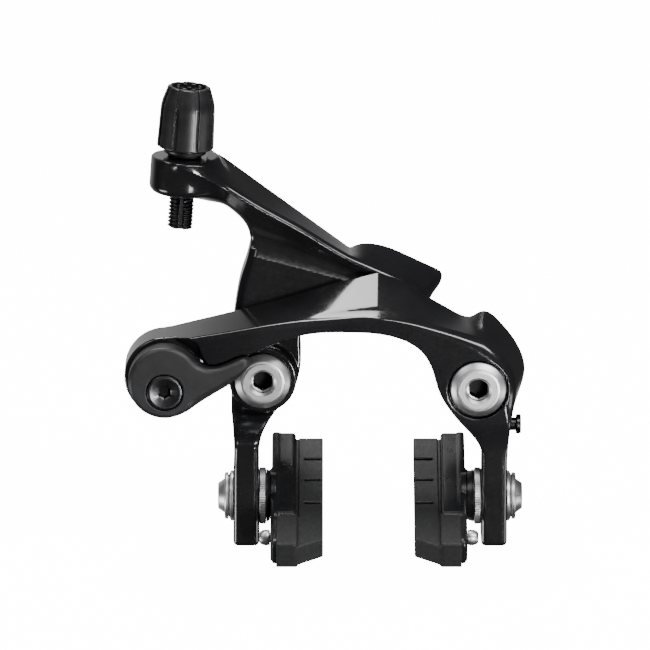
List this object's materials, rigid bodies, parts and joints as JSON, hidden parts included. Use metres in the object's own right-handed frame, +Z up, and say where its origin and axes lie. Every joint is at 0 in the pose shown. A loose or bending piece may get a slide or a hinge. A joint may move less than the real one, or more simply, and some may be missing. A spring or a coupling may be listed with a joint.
{
  "type": "rim brake caliper",
  "caption": "Direct-mount rim brake caliper: two linked arms on separate frame bolts, pad holders, barrel adjuster and quick-release lever with cable anchor.",
  "frame": {"origin": "midway between the two frame bolts on the mounting face", "axes": "+X to the side of the arm without the lever, +Y into the bicycle frame along the bolts, +Z up"},
  "size_m": [0.1045, 0.0602, 0.1204],
  "materials": {
    "gloss_black_paint": "gloss black lacquer over forged aluminium",
    "satin_black_paint": "satin black lacquer over forged aluminium",
    "dark_steel": "dark turned steel",
    "plain_steel": "plain machined steel",
    "black_steel": "black oxide",
    "bright_steel": "bright zinc plated",
    "bright_aluminium": "machined",
    "black_plastic": "moulded black",
    "washer_plastic": "dark bearing plastic",
    "holder_black": "semi-matte black anodised aluminium",
    "pad_rubber": "dark grey brake compound",
    "black_rubber": "soft black rubber"
  },
  "bodies": {
    "frame_side": {"left_mount_bolt": "bright_steel", "right_mount_bolt": "bright_steel", "left_pivot_bush": "bright_aluminium", "right_pivot_bush": "bright_aluminium", "left_thrust_washer": "washer_plastic", "right_thrust_washer": "washer_plastic", "left_return_spring": "plain_steel", "right_return_spring": "plain_steel"},
    "left_arm_body": {"left_arm": "gloss_black_paint"},
    "right_arm_body": {"right_arm": "gloss_black_paint", "link_pin": "plain_steel"},
    "link_roller_body": {"link_roller": "plain_steel"},
    "qr_lever_body": {"qr_lever": "satin_black_paint", "qr_cam_bush": "plain_steel"},
    "anchor_body": {"anchor_bolt": "dark_steel", "cable_clamp_plate": "plain_steel", "anchor_nut": "plain_steel"},
    "adjuster_slide_body": {"adjuster_collar": "black_plastic", "adjuster_o_ring": "black_rubber"},
    "adjuster_body": {"adjuster_bolt": "black_steel", "adjuster_knob": "black_plastic"},
    "centring_screw_body": {"centring_screw": "black_steel"},
    "left_shoe_clamp": {"left_shoe_bolt": "bright_steel", "left_outer_cup_washer": "bright_steel", "left_outer_domed_washer": "bright_steel", "left_inner_washer": "bright_steel"},
    "left_shoe": {"left_inner_domed_washer": "holder_black", "left_pad_holder": "holder_black", "left_brake_pad": "pad_rubber", "left_pad_screw": "bright_steel"},
    "right_shoe_clamp": {"right_shoe_bolt": "bright_steel", "right_outer_cup_washer": "bright_steel", "right_outer_domed_washer": "bright_steel", "right_inner_washer": "bright_steel"},
    "right_shoe": {"right_inner_domed_washer": "holder_black", "right_pad_holder": "holder_black", "right_brake_pad": "pad_rubber", "right_pad_screw": "bright_steel"}
  },
  "joints": [
    {"name": "left_arm_pivot", "type": "hinge", "parent": "frame_side", "child": "left_arm_body", "pos_m": [-0.028, 0, 0], "axis": [0, -1, 0], "range_deg": [0, 8], "stiffness_Nm_per_rad": 0.3, "springref_deg": -57.3, "deforming": ["left_return_spring"]},
    {"name": "right_arm_pivot", "type": "hinge", "parent": "frame_side", "child": "right_arm_body", "pos_m": [0.028, 0, 0], "axis": [0, 1, 0], "range_deg": [0, 8], "stiffness_Nm_per_rad": 0.3, "springref_deg": -57.3, "deforming": ["right_return_spring"]},
    {"name": "link_roller_spin", "type": "hinge", "parent": "right_arm_body", "child": "link_roller_body", "pos_m": [0, -0.007, 0.02], "axis": [0, 1, 0], "continuous": true},
    {"name": "qr_lever_turn", "type": "hinge", "parent": "right_arm_body", "child": "qr_lever_body", "pos_m": [-0.0533, -0.029, 0.0025], "axis": [0, 1, 0], "range_deg": [0, 110]},
    {"name": "anchor_swivel", "type": "hinge", "parent": "qr_lever_body", "child": "anchor_body", "pos_m": [-0.0533, -0.029, 0], "axis": [0, 1, 0], "range_deg": [-110, 0]},
    {"name": "adjuster_rise", "type": "slide", "parent": "left_arm_body", "child": "adjuster_slide_body", "axis": [0.0698, 0, 0.9976], "range_m": [0, 0.0061]},
    {"name": "adjuster_turn", "type": "hinge", "parent": "adjuster_slide_body", "child": "adjuster_body", "pos_m": [-0.0482, -0.012, 0.0583], "axis": [0.0698, 0, 0.9976], "range_deg": [0, 2160]},
    {"name": "centring_screw_turn", "type": "hinge", "parent": "right_arm_body", "child": "centring_screw_body", "pos_m": [0.036, -0.021, -0.0113], "axis": [1, 0, 0], "range_deg": [-360, 360]},
    {"name": "left_shoe_height", "type": "slide", "parent": "left_arm_body", "child": "left_shoe_clamp", "axis": [0, 0, 1], "range_m": [-0.003, 0.003]},
    {"name": "left_shoe_tilt", "type": "hinge", "parent": "left_shoe_clamp", "child": "left_shoe", "pos_m": [-0.029, -0.02, -0.031], "axis": [1, 0, 0], "range_deg": [-22, 8]},
    {"name": "right_shoe_height", "type": "slide", "parent": "right_arm_body", "child": "right_shoe_clamp", "axis": [0, 0, 1], "range_m": [-0.003, 0.003]},
    {"name": "right_shoe_tilt", "type": "hinge", "parent": "right_shoe_clamp", "child": "right_shoe", "pos_m": [0.029, -0.02, -0.031], "axis": [1, 0, 0], "range_deg": [-22, 8]}
  ],
  "couplings": [
    {"joint": "left_arm_pivot", "follows": "right_arm_pivot", "ratio": 1},
    {"joint": "anchor_swivel", "follows": "qr_lever_turn", "ratio": -1},
    {"joint": "adjuster_rise", "follows": "adjuster_turn", "m_per_rad": 0.00015915}
  ]
}
